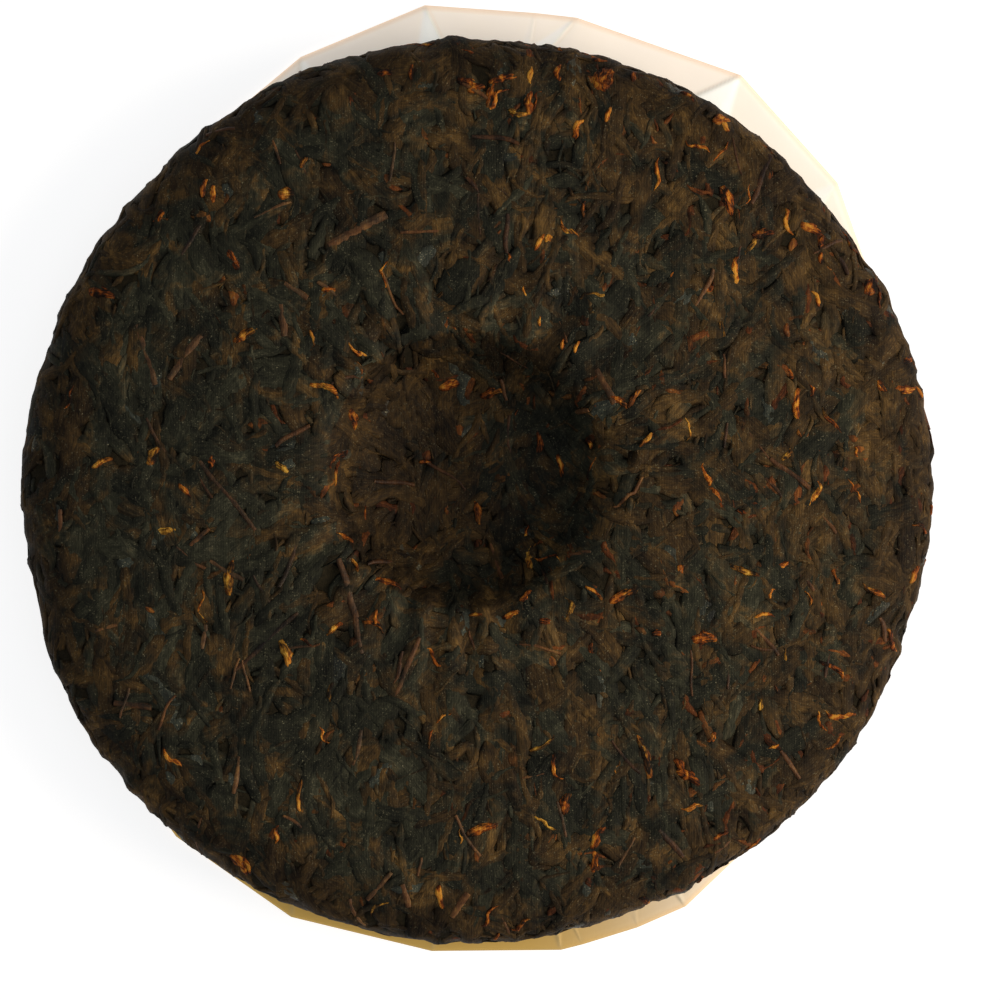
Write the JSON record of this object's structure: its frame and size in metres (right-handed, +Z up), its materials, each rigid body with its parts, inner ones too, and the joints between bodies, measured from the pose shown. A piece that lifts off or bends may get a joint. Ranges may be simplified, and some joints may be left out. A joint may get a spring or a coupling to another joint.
{
  "type": "pressed tea cake",
  "caption": "Round pressed cake of dark ripe tea leaves with a central dimple in its back, lying on its folded plain paper wrapper.",
  "frame": {"origin": "on the cake's axis, in the flat underside of the paper wrapper that it lies on", "axes": "+Z up, out of the dimpled back; +X to the right and +Y to the top of the picture"},
  "size_m": [0.2006, 0.2089, 0.0288],
  "materials": {
    "pressed_tea": "matt pressed tea leaves, near-black brown with golden buds",
    "wrapper_paper": "thin matt cotton paper, warm white, pleated"
  },
  "bodies": {
    "root": {"tea_cake": "pressed_tea", "paper_wrapper": "wrapper_paper"}
  },
  "joints": []
}
